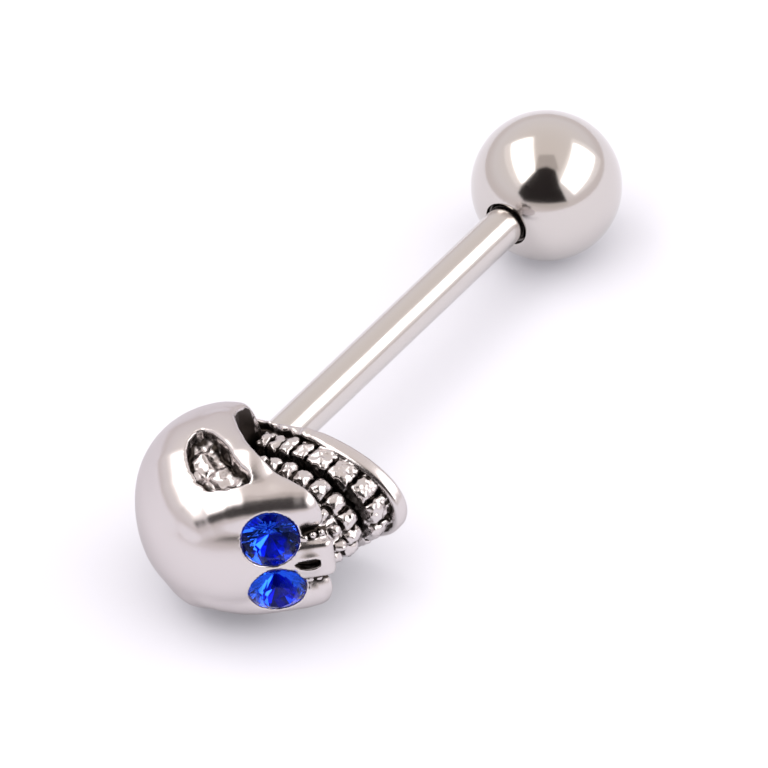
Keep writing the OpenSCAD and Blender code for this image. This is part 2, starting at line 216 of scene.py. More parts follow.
# Lumps of the recess floor, the rise of the floor at its back, and its ragged edge
FLOOR_LUMPS = 0.15
FLOOR_RISE = 0.5
EDGE_RAGGED = 0.05
# Collar round each stone and the cone cut for it, along the stone's own axis
COLLAR_WIDTH = 0.12
COLLAR_MIDDLE = -0.4
COLLAR_HALF = 0.37
SEAT_GAP = 0.03
SEAT_FLOOR = -1.08
SEAT_SLOPE = 0.82
SEAT_SCALE = 0.77
SEAT_OPEN = 2.0
# How softly each form runs into the next
SHOULDER_BLEND = 0.6
BROW_BLEND = 0.22
ARCH_BLEND = 0.3
NOSE_BLEND = 0.12
NOTCH_BLEND = 0.08
STUD_BLEND = 0.05
MOUTH_BLEND = 0.2
MOUTH_BLEND_LOW = 0.35
POCKET_BLEND = 0.1
JAW_BLEND = 0.12
TOOTH_BLEND = 0.06
COLLAR_BLEND = 0.08
SEAT_BLEND = 0.03

# Corners of the open mouth in the side view: front and up in mm from the jaw's underside
MOUTH = [(0.36, -1.0), (0.36, 0.0), (0.36, 0.4), (0.37, 0.8), (0.39, 1.43), (0.43, 2.07), (0.6, 2.45),
         (0.82, 2.68), (1.3, 3.13), (1.84, 3.5), (2.2, 3.8), (2.55, 4.03), (2.95, 4.18), (3.54, 4.22),
         (9.0, 4.15), (9.0, -1.0)]

JAW_TURN = math.radians(6)
JAW_RIM = 0.68
RIM_ROUND = 0.2
RIM_INSET = 0.04
RIM_LUMPS = 0.06
JAW_REACH = 6.6
JAW_HALF = 2.175
ARCH_START = 0.4 * JAW_REACH
ARCH_POWER = 2.1
ARCH_STEPS = 40
# Half widths behind the arch's start, as shares of the reach and of the width
ARCH_BACK = [(-0.19, 0.45), (-0.1, 0.64), (0.0, 0.71), (0.1, 0.78), (0.2, 0.87), (0.3, 0.96), (0.4, 1.0)]
# Height of the rim along the jaw, as shares of the reach and of the rim
RIM_HEIGHTS = [(-0.19, 0.3), (0.06, 0.34), (0.3, 0.8), (0.45, 1.0), (1.0, 1.0)]
# The gap straight across behind the arch's start, times this, is about the true distance
BACK_SLOPE = 0.97


def arch_distance(x, y, width, reach):
    """Signed distance to an arch, about, negative inside."""
    y = np.abs(y) + 1e-6
    u = np.maximum(x - ARCH_START, 0) / (reach - ARCH_START) + 1e-6
    v = y / width
    rho = (u ** ARCH_POWER + v ** ARCH_POWER) ** (1 / ARCH_POWER)
    slope = np.sqrt(((u / rho) ** (ARCH_POWER - 1) / (reach - ARCH_START)) ** 2
                    + ((v / rho) ** (ARCH_POWER - 1) / width) ** 2)
    round_part = (rho - 1) / slope
    shares = np.array(ARCH_BACK)
    edge = np.interp(x, shares[:, 0] * JAW_REACH, shares[:, 1] * width)
    back_part = (y - edge) * BACK_SLOPE
    d = np.where(x > ARCH_START, round_part, back_part)
    return np.maximum(d, shares[0, 0] * JAW_REACH - x)


def arch_line(width, reach):
    """Half of an arch from its front to its back."""
    turn = np.radians(np.linspace(0, 90, ARCH_STEPS))
    line = [(ARCH_START + (reach - ARCH_START) * math.cos(a) ** (2 / ARCH_POWER),
             width * math.sin(a) ** (2 / ARCH_POWER)) for a in turn]
    line += [(x * JAW_REACH, w * width) for x, w in reversed(ARCH_BACK[:-1])]
    return np.array(line)


# Teeth: distance along the row from its middle, width, height share, and how far it leans out
LOWER_TEETH = [(0.45, 0.84, 1.0, 0.0), (1.32, 0.82, 0.95, 0.03), (2.3, 1.0, 1.0, -0.02),
               (3.3, 0.92, 1.0, 0.03), (4.12, 0.64, 0.9, 0.0), (4.76, 0.56, 1.0, 0.04),
               (5.36, 0.56, 0.9, -0.02), (5.96, 0.54, 0.85, 0.03)]
UPPER_TEETH = [(0.0, 0.6, 1.0, 0.0), (0.7, 0.68, 0.95, 0.04), (1.46, 0.74, 1.0, 0.0),
               (2.24, 0.74, 1.05, 0.04), (3.02, 0.72, 0.95, -0.02), (3.72, 0.6, 1.0, 0.02),
               (4.38, 0.6, 0.9, 0.04), (5.0, 0.54, 0.95, 0.0)]
LOWER_MIDDLE = 1.1
LOWER_HALF = 0.5
UPPER_MIDDLE = 2.42
UPPER_HALF = 0.42
# Lumps of gum over the upper teeth
ROOTS = [(s, w * 0.7, 0.8 + 0.2 * math.sin(5 * s), -0.1 + 0.05 * math.cos(7 * s))
         for s, w, _, _ in UPPER_TEETH]
ROOT_MIDDLE = 3.2
ROOT_HALF = 0.34
# Half of the stretch over which a row's direction is taken
TANGENT_HALF = 0.15


def tooth_frames(table, width, reach, middle, half_height, rounding, pillow):
    """Centre, tangent, half sizes and form of every tooth of a row, on both sides."""
    line = arch_line(width, reach)
    along = np.concatenate([[0], np.cumsum(np.linalg.norm(np.diff(line, axis=0), axis=1))])
    made = []
    for s, w, h, lean in table:
        here = np.array([np.interp(s, along, line[:, i]) for i in (0, 1)])
        ahead = np.array([np.interp(s + TANGENT_HALF, along, line[:, i]) for i in (0, 1)])
        behind = np.array([np.interp(max(s - TANGENT_HALF, 0), along, line[:, i]) for i in (0, 1)])
        if s == 0:
            behind = np.array([ahead[0], -ahead[1]])
        way = (ahead - behind) / np.linalg.norm(ahead - behind)
        for side in ((1, -1) if s else (1,)):
            made.append((np.array([here[0], side * here[1]]), np.array([way[0], side * way[1]]) * side,
                         w / 2, half_height * h, middle, lean, rounding, pillow))
    return made


# Half width and reach of each row of teeth
LOWER_ARCH = (1.68, 5.82)
UPPER_ARCH = (1.74, 5.5)
# Gums and the core behind them: arch, inset, middle height, half height
GUMS = [(LOWER_ARCH, 0.12, 0.7, 0.6), (UPPER_ARCH, 0.12, 3.4, 0.9), (LOWER_ARCH, 0.55, 2.1, 1.9)]
# Rounding of the teeth's edges and swell of their faces, in each row
LOWER_FORM = (0.1, 0.1)
UPPER_FORM = (0.13, 0.2)
ROOT_FORM = (0.16, 0.2)
TOOTH_FRAMES = (tooth_frames(LOWER_TEETH, *LOWER_ARCH, LOWER_MIDDLE, LOWER_HALF, *LOWER_FORM)
                + tooth_frames(UPPER_TEETH, *UPPER_ARCH, UPPER_MIDDLE, UPPER_HALF, *UPPER_FORM)
                + tooth_frames(ROOTS, *UPPER_ARCH, ROOT_MIDDLE, ROOT_HALF, *ROOT_FORM))
TOOTH_THICK = 0.36
TOOTH_LUMPS = 0.05
TOOTH_GRAIN = 0.04
# Swell of a tooth along its height, as a share of the swell across
TALL_PILLOW = 0.7


def teeth_distance(x, y, z):
    """The rows of teeth and gum lumps, in the jaw's axes."""
    best = np.full(x.shape, FAR)
    for centre, way, half_width, half_height, middle, lean, rounding, pillow in TOOTH_FRAMES:
        out = np.array([way[1], -way[0]])
        if out @ (centre - np.array([ARCH_START * 0.5, 0])) < 0:
            out = -out
        u = (x - centre[0]) * way[0] + (y - centre[1]) * way[1]
        v = (x - centre[0]) * out[0] + (y - centre[1]) * out[1] - lean
        w = z - middle
        # the outer face is a shallow pillow
        v = v + pillow * (u / half_width) ** 2 + TALL_PILLOW * pillow * (w / half_height) ** 2
        qx = np.abs(u) - half_width + rounding
        qy = np.abs(v) - TOOTH_THICK + rounding
        qz = np.abs(w) - half_height + rounding
        outside = np.sqrt(np.maximum(qx, 0) ** 2 + np.maximum(qy, 0) ** 2 + np.maximum(qz, 0) ** 2)
        d = outside + np.minimum(np.maximum(np.maximum(qx, qy), qz), 0) - rounding
        best = np.minimum(best, d)
    # cast metal is uneven
    lumps = TOOTH_LUMPS * np.sin(9.0 * x + 2.0) * np.sin(8.0 * y + 1.0) * np.sin(10.0 * z + 0.5)
    grain = TOOTH_GRAIN * np.sin(16.0 * x + 1.0) * np.sin(14.0 * y + 0.6) * np.sin(17.0 * z + 2.0)
    return best + lumps + grain


def jaw_axes(front, side):
    """Front and side turned to the askew jaw."""
    return (front * math.cos(JAW_TURN) - side * math.sin(JAW_TURN),
            front * math.sin(JAW_TURN) + side * math.cos(JAW_TURN))


def jaw_distance(front, side, up):
    """The jaw's plate with its rim, the gums and the teeth."""
    x, y = jaw_axes(front, side)
    edge = arch_distance(x, y, JAW_HALF, JAW_REACH)
    heights = np.array(RIM_HEIGHTS)
    top = np.interp(x / JAW_REACH, heights[:, 0], heights[:, 1]) * JAW_RIM
    qx = edge + RIM_ROUND + RIM_INSET
    qz = np.abs(up - top / 2) - top / 2 + RIM_ROUND
    outside = np.sqrt(np.maximum(qx, 0) ** 2 + np.maximum(qz, 0) ** 2)
    plate = outside + np.minimum(np.maximum(qx, qz), 0) - RIM_ROUND
    # small lumps along the back of the rim
    behind = falling(x, 2.4, 0.5) * rising(up, 0.05, 0.1)
    plate = plate + RIM_LUMPS * behind * np.sin(8.5 * x + 0.6) * np.sin(7.0 * y)
    core = np.full(x.shape, FAR)
    for (width, reach), inset, middle, half in GUMS:
        gum = np.maximum(arch_distance(x, y, width - inset, reach - inset), np.abs(up - middle) - half)
        core = np.minimum(core, gum)
    return join(join(plate, core, JAW_BLEND), teeth_distance(x, y, up), TOOTH_BLEND)


def outer_distance(front, wide, up):
    """The head with its brow and arch, before anything is cut; also the points in the face's axes."""
    d = head_distance(front, wide, up)
    fx, fz = face_axes(front, up)
    q = np.stack([fx, wide, fz], 1)
    swell = np.exp(-((q - np.array(SWELL_CENTRE)) ** 2).sum(1) / SWELL_WIDTH ** 2)
    d = d - SWELL_HEIGHT * swell
    d = join(d, chain(q, SHOULDER), SHOULDER_BLEND)
    d = join(d, chain(q, BROW), BROW_BLEND)
    return join(d, chain(q, ARCH), ARCH_BLEND), q


def rounded_box(p, centre, half, radius):
    over = np.abs(p - np.array(centre)) - np.array(half) + radius
    return np.linalg.norm(np.maximum(over, 0), axis=1) + np.minimum(over.max(axis=1), 0) - radius


def half_width(side):
    """Distance from the middle plane; the side on the floor is a hair slimmer."""
    return np.where(side < 0, -side * FLOOR_SIDE, side)


def recess_pocket(fx, wide, fz):
    """What is cut for a temple recess, with its ragged edge and lumpy floor."""
    rough = FLOOR_LUMPS * (np.sin(4.6 * fx + 1.1) * np.sin(4.2 * fz + 0.4)
                           + 0.45 * np.sin(8.0 * fx + 3.0 * fz) * np.sin(7.5 * fz - 3.0 * fx + 2.0)
                           + 0.1 * np.sin(19.0 * fx) * np.sin(17.0 * fz))
    ragged = EDGE_RAGGED * np.sin(8.0 * fx + 2.0) * np.sin(7.0 * fz + 1.0) * falling(wide, 3.25, 0.2)
    # the floor rises towards the back of the head
    rise = FLOOR_RISE * falling(fx, 1.1, 1.2)
    return np.maximum(polygon_distance(fx, fz, RECESS) + ragged, RECESS_FLOOR + rise + rough - wide)


def stone_seat(fx, side, fz, sign):
    """The collar round a stone, and the cone that is cut for it."""
    c, s = math.cos(STONE_YAW), math.sin(STONE_YAW)
    rx, ry, rz = fx - STONE_FRONT, side - sign * STONE_SPACING / 2, fz + STONE_DROP
    depth = rx * c + ry * sign * s
    across = np.sqrt((ry * c - rx * sign * s) ** 2 + rz * rz)
    collar = np.maximum(across - STONE_R - COLLAR_WIDTH, np.abs(depth - COLLAR_MIDDLE) - COLLAR_HALF)
    cone = (SEAT_FLOOR - depth + SEAT_SLOPE * across) * SEAT_SCALE
    cup = np.maximum(across - STONE_R - SEAT_GAP, cone)
    return collar, np.maximum(cup, depth - SEAT_OPEN)


def skull_distance(points):
    """The whole casting, with everything cut and joined."""
    front, side, up = points[:, 0], points[:, 1], points[:, 2]
    wide = half_width(side)
    d, q = outer_distance(front, wide, up)
    fx, fz = q[:, 0], q[:, 2]
    d = join(d, rounded_box(q, *NOSE_TAB), NOSE_BLEND)
    d = cut(d, chain(q, NOTCH), NOTCH_BLEND)
    studs = np.min([np.linalg.norm(q - np.array(s[:3]), axis=1) - s[3] for s in STUDS], axis=0)
    d = join(d, studs, STUD_BLEND)
    # the opening's edge is rounder at the back, low down
    soft = MOUTH_BLEND + MOUTH_BLEND_LOW * falling(up, 2.0, 1.2)
    d = cut(d, polygon_distance(front, up, MOUTH), soft)
    d = cut(d, recess_pocket(fx, wide, fz), POCKET_BLEND)
    hole = np.maximum(polygon_distance(side, fz, NOSE_HOLE), NOSE_HOLE_FLOOR - fx)
    d = cut(d, hole, POCKET_BLEND)
    d = join(d, jaw_distance(front, side, up), JAW_BLEND)
    for sign in (1, -1):
        collar, cup = stone_seat(fx, side, fz, sign)
        d = cut(join(d, collar, COLLAR_BLEND), cup, SEAT_BLEND)
    return d


def gradient(f, p, step=0.01):
    """The value and the slope of f at each point, from four samples."""
    corners = np.array([(1, -1, -1), (-1, -1, 1), (-1, 1, -1), (1, 1, 1)], float)
    slope = np.zeros_like(p)
    value = np.zeros(len(p))
    for c in corners:
        v = f(p + c * step)
        slope += c * v[:, None]
        value += v
    return value / 4, slope / (4 * step)


# Planes worked on at a time, and how the points are pulled on to the surface
NET_BLOCK = 12
NET_PULLS = 3
NET_LONGEST_PULL = 0.3
NET_LEAST_SLOPE = 0.05


def surface_net(f, low, high, size):
    """Quads on the zero surface of f, with their points pulled on to it."""
    counts = [int(math.ceil((high[i] - low[i]) / size)) + 1 for i in range(3)]
    ticks = [low[i] + size * np.arange(counts[i]) for i in range(3)]
    value = np.empty(counts)
    gy, gz = np.meshgrid(ticks[1], ticks[2], indexing="ij")
    for start in range(0, counts[0], NET_BLOCK):
        xs = ticks[0][start:start + NET_BLOCK]
        pts = np.empty((len(xs), counts[1], counts[2], 3))
        pts[..., 0] = xs[:, None, None]
        pts[..., 1] = gy
        pts[..., 2] = gz
        value[start:start + NET_BLOCK] = f(pts.reshape(-1, 3)).reshape(len(xs), counts[1], counts[2])
    inside = value < 0
    cells = [n - 1 for n in counts]
    total = np.zeros(cells, int)
    offsets = [(i, j, k) for i in (0, 1) for j in (0, 1) for k in (0, 1)]
    for i, j, k in offsets:
        total += inside[i:i + cells[0], j:j + cells[1], k:k + cells[2]]
    mixed = (total > 0) & (total < 8)
    where = np.argwhere(mixed)
    number = np.full(cells, -1)
    number[mixed] = np.arange(len(where))
    sums = np.zeros((len(where), 3))
    hits = np.zeros(len(where))
    for a in offsets:
        for axis in range(3):
            if a[axis]:
                continue
            b = list(a)
            b[axis] = 1
            va = value[tuple((where + a).T)]
            vb = value[tuple((where + b).T)]
            crosses = (va < 0) != (vb < 0)
            t = np.where(crosses, va / np.where(crosses, va - vb, 1), 0)
            spot = where + np.array(a, float)
            spot[:, axis] += t
            sums += spot * crosses[:, None]
            hits += crosses
    points = np.array(low) + size * sums / hits[:, None]
    faces = []
    for axis in range(3):
        u, v = [i for i in range(3) if i != axis]
        lo = [slice(0, c) for c in counts]
        hi = [slice(0, c) for c in counts]
        lo[axis] = slice(0, counts[axis] - 1)
        hi[axis] = slice(1, counts[axis])
        change = inside[tuple(lo)].astype(int) - inside[tuple(hi)].astype(int)
        at = np.argwhere(change != 0)
        at = at[(at[:, u] > 0) & (at[:, v] > 0) & (at[:, u] < cells[u]) & (at[:, v] < cells[v])]
        sign = change[tuple(at.T)]
        ring = []
        for du, dv in ((-1, -1), (0, -1), (0, 0), (-1, 0)):
            c = at.copy()
            c[:, u] += du
            c[:, v] += dv
            ring.append(number[tuple(c.T)])
        quad = np.stack(ring, 1)
        flip = (sign > 0) == (axis == 1)
        quad[flip] = quad[flip][:, ::-1]
        faces.append(quad)
    faces = np.concatenate(faces)
    for _ in range(NET_PULLS):
        v, g = gradient(f, points)
        push = v / np.maximum((g * g).sum(1), NET_LEAST_SLOPE)
        longest = NET_LONGEST_PULL * size
        points -= np.clip(push, -longest, longest)[:, None] * g
    return points, faces


def add_values(obj, name, domain, values):
    """A number for each point or face, which the materials read."""
    obj.data.attributes.new(name, "FLOAT", domain).data.foreach_set("value", values)


def make_mesh(name, points, faces, smooth=True, closed=True):
    mesh = bpy.data.meshes.new(name)
    mesh.from_pydata([tuple(p) for p in points], [], [tuple(int(i) for i in f) for f in faces])
    mesh.validate()
    if closed:
        shape = bmesh.new()
        shape.from_mesh(mesh)
        bmesh.ops.recalc_face_normals(shape, faces=shape.faces)
        shape.to_mesh(mesh)
        shape.free()
    mesh.polygons.foreach_set("use_smooth", [smooth] * len(mesh.polygons))
    mesh.update()
    obj = bpy.data.objects.new(name, mesh)
    bpy.context.scene.collection.objects.link(obj)
    return obj


def shade(name):
    """A new material, its principled shader, and short ways to add and to link nodes."""
    mat = bpy.data.materials.new(name)
    mat.use_nodes = True
    tree = mat.node_tree
    bsdf = tree.nodes["Principled BSDF"]

    def add(kind, **values):
        node = tree.nodes.new(kind)
        for key, value in values.items():
            if hasattr(node, key):
                setattr(node, key, value)
            else:
                node.inputs[key.replace("_", " ")].default_value = value
        return node

    return mat, bsdf, add, tree.links.new


def settings(node, **values):
    """A node's inputs set by name, with _ for a space."""
    for key, value in values.items():
        node.inputs[key.replace("_", " ")].default_value = value


def metal(name):
    """A metal, with the tarnish and painted shade of each point, and the piece's own coordinates."""
    mat, bsdf, add, link = shade(name)
    bsdf.inputs["Metallic"].default_value = 1.0
    tarnish_and_shade = add("ShaderNodeAttribute", attribute_name="tarnish_and_shade").outputs["Fac"]
    place = add("ShaderNodeTexCoord").outputs["Object"]
    return mat, bsdf, add, link, tarnish_and_shade, place


def noise(add, link, place, scale, detail):
    node = add("ShaderNodeTexNoise", Scale=scale, Detail=detail)
    link(place, node.inputs["Vector"])
    return node.outputs["Fac"]


def darkened(bsdf, add, link, share, bright, dark):
    """Base colour from bright metal to dark, by an output from 0 to 1; the dark end is tarnish and painted
    shade.
    """
    colour = add("ShaderNodeMix", data_type="RGBA")
    link(share, colour.inputs["Factor"])
    colour.inputs["A"].default_value = bright
    colour.inputs["B"].default_value = dark
    link(colour.outputs["Result"], bsdf.inputs["Base Color"])


def roughened(bsdf, add, link, share, least, most):
    """Roughness from least to most, by an output from 0 to 1."""
    rough = add("ShaderNodeMapRange", To_Min=least, To_Max=most)
    link(share, rough.inputs["Value"])
    link(rough.outputs["Result"], bsdf.inputs["Roughness"])


def bumped(bsdf, add, link, height, strength, distance):
    bump = add("ShaderNodeBump", Strength=strength, Distance=distance)
    link(height, bump.inputs["Height"])
    link(bump.outputs["Normal"], bsdf.inputs["Normal"])


# Linear colours
CASTING = (0.645, 0.605, 0.60, 1)
CASTING_EDGE = (0.76, 0.74, 0.74, 1)
# the casting's dark: tarnish in its hollows and painted shade
CASTING_TARNISH_AND_SHADE = (0.035, 0.028, 0.024, 1)
STEEL = (0.625, 0.592, 0.567, 1)
# the steel's dark is painted shade
STEEL_SHADE = (0.06, 0.05, 0.045, 1)
CRYSTAL = (0.012, 0.075, 0.68, 1)
CRYSTAL_GLARE = (0.1, 0.2, 0.9, 1)
FOIL_DARK = (0.01, 0.004, 0.12, 1)
FOIL_MIDDLE = (0.1, 0.1, 0.85, 1)
# the foil's brightest facets: painted sparkle, which also glows
FOIL_BRIGHT = (1.0, 1.0, 0.8, 1)
# How far the grain breaks up the casting's tarnish and painted shade, and between which values they set in
GRAIN = 0.8
TARNISH_AND_SHADE_FROM = 0.38
TARNISH_AND_SHADE_FULL = 0.78
# Tones of the foil at its middle colour and where the painted glint begins, and the painted glint's strengths
FOIL_MIDDLE_TONE = 0.6
PAINTED_GLINT_TONE = 0.7
PAINTED_GLINT_LEAST = 0.25
PAINTED_GLINT_MOST = 6.0


def casting_material():
    mat, bsdf, add, link, tarnish_and_shade, place = metal("plated_casting")
    bsdf.inputs["Specular Tint"].default_value = CASTING_EDGE
    uneven = add("ShaderNodeMath", operation="MULTIPLY_ADD")
    link(noise(add, link, place, 2600.0, 3.0), uneven.inputs[0])
    uneven.inputs[1].default_value = GRAIN
    uneven.inputs[2].default_value = -GRAIN / 2
    total = add("ShaderNodeMath", operation="ADD", use_clamp=True)
    link(tarnish_and_shade, total.inputs[0])
    link(uneven.outputs[0], total.inputs[1])
    edge = add("ShaderNodeMapRange", interpolation_type="SMOOTHSTEP",
               From_Min=TARNISH_AND_SHADE_FROM, From_Max=TARNISH_AND_SHADE_FULL)
    link(total.outputs[0], edge.inputs["Value"])
    share = edge.outputs["Result"]
    darkened(bsdf, add, link, share, CASTING, CASTING_TARNISH_AND_SHADE)
    roughened(bsdf, add, link, share, 0.23, 0.42)
    bumped(bsdf, add, link, noise(add, link, place, 900.0, 4.0), 0.06, 0.0001)
    return mat


def rod_material():
    mat, bsdf, add, link, tarnish_and_shade, place = metal("satin_steel")
    # painted shade by the ring and where the bar meets the skull
    darkened(bsdf, add, link, tarnish_and_shade, STEEL, STEEL_SHADE)
    # fine lines drawn out along the bar
    stretch = add("ShaderNodeMapping", Scale=(0.06, 1.0, 1.0))
    link(place, stretch.inputs["Vector"])
    lines = noise(add, link, stretch.outputs["Vector"], 9000.0, 2.0)
    roughened(bsdf, add, link, lines, 0.13, 0.2)
    bumped(bsdf, add, link, lines, 0.12, 0.00002)
    return mat


def ball_material():
    mat, bsdf, add, link, tarnish_and_shade, place = metal("polished_steel")
    # painted shade in the ring and the bore
    darkened(bsdf, add, link, tarnish_and_shade, STEEL, STEEL_SHADE)
    roughened(bsdf, add, link, noise(add, link, place, 700.0, 3.0), 0.1, 0.15)
    return mat


def crystal_material():
    mat, bsdf = shade("blue_crystal")[:2]
    settings(bsdf, Base_Color=CRYSTAL, Transmission_Weight=1.0, IOR=1.4, Specular_Tint=CRYSTAL_GLARE,
             Roughness=0.0)
    return mat


def foil_material():
    """Mirror foil whose facets differ in tone: a painted sparkle, from dark to bright."""
    mat, bsdf, add, link = shade("foil")
    settings(bsdf, Metallic=1.0, Roughness=0.06)
    painted_sparkle = add("ShaderNodeAttribute", attribute_name="painted_sparkle").outputs["Fac"]
    ramp = add("ShaderNodeValToRGB")
    ramp.color_ramp.interpolation = "LINEAR"
    ramp.color_ramp.elements[0].color = FOIL_DARK
    ramp.color_ramp.elements[1].color = FOIL_BRIGHT
    ramp.color_ramp.elements.new(FOIL_MIDDLE_TONE).color = FOIL_MIDDLE
    link(painted_sparkle, ramp.inputs["Fac"])
    link(ramp.outputs["Color"], bsdf.inputs["Base Color"])
    # painted glint: the brightest facets glow, standing in for light thrown about inside the stone
    painted_glint = add("ShaderNodeMapRange", From_Min=PAINTED_GLINT_TONE, To_Min=PAINTED_GLINT_LEAST, To_Max=PAINTED_GLINT_MOST)
    link(painted_sparkle, painted_glint.inputs["Value"])
    link(ramp.outputs["Color"], bsdf.inputs["Emission Color"])
    link(painted_glint.outputs["Result"], bsdf.inputs["Emission Strength"])
    return mat


# The skull's net: cell and box in mm
SCULPT_CELL = 0.075
SCULPT_LOW = (-3.75, -4.1, -0.25)
SCULPT_HIGH = (6.85, 4.1, 8.1)
# How far out a surface point looks for other metal, and how much finding it counts towards the painted shade
CROWDING = [(0.12, 0.9), (0.25, 0.9), (0.45, 0.8), (0.8, 0.5)]
FULLY_CROWDED = 2.2
WALL_SHADE = 0.9
points, faces = surface_net(skull_distance, SCULPT_LOW, SCULPT_HIGH, SCULPT_CELL)
slope = gradient(skull_distance, points)[1]
normal = slope / np.maximum(np.linalg.norm(slope, axis=1), 1e-6)[:, None]


def painted_shade_and_tarnish(points, normal):
    """Tarnish and painted shade of each surface point: painted shade where little light gets in, on the walls
    of the recess and deep in the open mouth, with the tarnish the casting has in these hollows.
    """
    # painted shade where other metal closes round a point
    closed = np.zeros(len(points))
    for reach, weight in CROWDING:
        there = skull_distance(points + normal * reach)
        closed += weight * np.clip(1 - there / reach, 0, 1)
    front, side, up = points.T
    hull, q = outer_distance(front, half_width(side), up)
    fx, fz = q[:, 0], q[:, 2]
    # painted shade on the walls of the recess, but not on the lumps of its floor
    near_wall = rising(polygon_distance(fx, fz, RECESS), -0.34, 0.24)
    patchy = 0.85 + 0.3 * np.sin(9.0 * fx + 1.0) * np.sin(8.0 * fz)
    outside_floor = np.abs(side) > RECESS_FLOOR - 0.4
    walls = rising(-hull, 0.12, 0.2) * near_wall * patchy * outside_floor
    # painted shade and tarnish inside the mouth, but not on the teeth or the jaw's plate
    in_mouth = polygon_distance(front, up, MOUTH) < 0.06
    off_teeth = rising(teeth_distance(*jaw_axes(front, side), up), 0.03, 0.1)
    deep = rising(-hull, 0.05, 0.15) * in_mouth * off_teeth * rising(up, 1.0, 0.3)
    return np.maximum(np.clip(closed / FULLY_CROWDED, 0, 1), np.maximum(deep, WALL_SHADE * walls))


skull = make_mesh("skull_cast", to_row(points), faces)
# the casting's painted shade and tarnish, which its material reads
add_values(skull, "tarnish_and_shade", "POINT", painted_shade_and_tarnish(points, normal).astype(np.float32))
skull.data.materials.append(casting_material())
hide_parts("skull")
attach(skull, "skull_and_bar")


def lathe(name, profile, dark, sides=128):
    """A solid turned about the bar's axis. The profile holds radius and height from the jaw's underside,
    in mm, and the function dark says how much painted shade the metal carries there."""
    points, faces = [], []
    rings = []
    for r, z in profile:
        if r < 1e-6:
            rings.append([len(points)])
            points.append((0.0, 0.0, z))
            continue
        rings.append(list(range(len(points), len(points) + sides)))
        for i in range(sides):
            a = 2 * math.pi * i / sides
            points.append((r * math.cos(a), r * math.sin(a), z))
    for a, b in zip(rings[:-1], rings[1:]):
        for i in range(sides):
            j = (i + 1) % sides
            if len(a) == 1 and len(b) == 1:
                continue
            if len(a) == 1:
                faces.append((a[0], b[j], b[i]))
            elif len(b) == 1:
                faces.append((a[i], a[j], b[0]))
            else:
                faces.append((a[i], a[j], b[j], b[i]))
    obj = make_mesh(name, to_row(points), faces)
    add_values(obj, "tarnish_and_shade", "POINT", [dark(math.hypot(x, y), z) for x, y, z in points])
    return obj


# The post's tip, its thread and the rounding of the bar's shoulder, in mm
TIP_R = 0.42
TIP_LENGTH = 0.06
THREAD_CORE_R = 0.5
THREAD_PITCH = 0.35
THREAD_FLANK = 0.4
THREAD_CREST = 0.5
THREAD_END = 0.2
SHOULDER_GAP = 0.03
SHOULDER_ROUND = 0.05
SEAT_END_GAP = 0.4
# Bevels of the bore and of the ring round it, and steps of the ball's curve
BORE_LIP = 0.05
RING_LIP = 0.02
RIM_BEVEL = 0.03
RIM_CORNER = 0.005
BALL_STEPS = 90


def rod_profile():
    shoulder = -BALL_TO_JAW + BALL_R - RING_DEPTH + SHOULDER_GAP
    end = shoulder - POST_LENGTH
    inner = SEAT_DEPTH - SEAT_END_GAP
    profile = [(0, end), (TIP_R, end), (THREAD_CORE_R, end + TIP_LENGTH)]
    z = end + 2 * TIP_LENGTH
    while z < shoulder - THREAD_END:
        profile += [(THREAD_CORE_R, z), (POST_R, z + THREAD_PITCH * THREAD_FLANK),
                    (POST_R, z + THREAD_PITCH * THREAD_CREST)]
        z += THREAD_PITCH
    profile += [(THREAD_CORE_R, shoulder - 0.04), (THREAD_CORE_R + 0.02, shoulder),
                (BAR_R - SHOULDER_ROUND, shoulder), (BAR_R, shoulder + SHOULDER_ROUND)]
    profile += [(BAR_R, shoulder + z) for z in (0.1, 0.2, 0.3, 0.4, 0.5)]
    profile += [(BAR_R, shoulder + SHOULDER_ROUND + i) for i in range(1, 16)]
    profile += [(BAR_R, z) for z in (-0.25, SEAT_FROM, 0.1, inner)]
    profile.append((0, inner))
    return profile


def ball_profile():
    top = -BALL_TO_JAW
    start = math.asin((RING_R + RIM_BEVEL) / BALL_R)
    rim = top + BALL_R * math.cos(start)
    ring_floor = top + BALL_R - RING_DEPTH
    profile = [(0, ring_floor - BORE_DEPTH), (BORE_R, ring_floor - BORE_DEPTH),
               (BORE_R, ring_floor - BORE_LIP), (BORE_R + BORE_LIP, ring_floor),
               (RING_R - RING_LIP, ring_floor), (RING_R, ring_floor + RING_LIP),
               (RING_R, rim - RIM_BEVEL), (RING_R + RING_LIP, rim - RIM_CORNER)]
    for i in range(BALL_STEPS + 1):
        a = start + (math.pi - start) * i / BALL_STEPS
        profile.append((BALL_R * math.sin(a) if i < BALL_STEPS else 0, top + BALL_R * math.cos(a)))
    return profile


# Painted shade on the post, on the bar beside the ring, on the bar in the skull, and in the ball's bore
POST_SHADE = 0.8
NECK_SHADE = 0.55
SEAT_SHADE = 0.6
BORE_SHADE = 0.85
SEAT_FROM = -0.12


def rod_dark(r, z):
    """Painted shade on the post, just above the ring, and inside the skull."""
    in_ring = -BALL_TO_JAW + BALL_R - RING_DEPTH
    if z < in_ring + 0.1:
        return POST_SHADE
    if z < in_ring + 0.3:
        return NECK_SHADE
    return SEAT_SHADE if z > SEAT_FROM else 0.0


def ball_dark(r, z):
    """Painted shade in the bore and the ring."""
    return BORE_SHADE if r < RING_R + 0.01 and z > -BALL_TO_JAW else 0.0


rod = lathe("bar_shaft", rod_profile()[::-1], rod_dark)
rod.data.materials.append(rod_material())
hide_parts("bar")
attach(rod, "skull_and_bar")

ball = lathe("screw_ball", ball_profile(), ball_dark)
ball.data.materials.append(ball_material())
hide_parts("ball")
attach(ball, "ball")


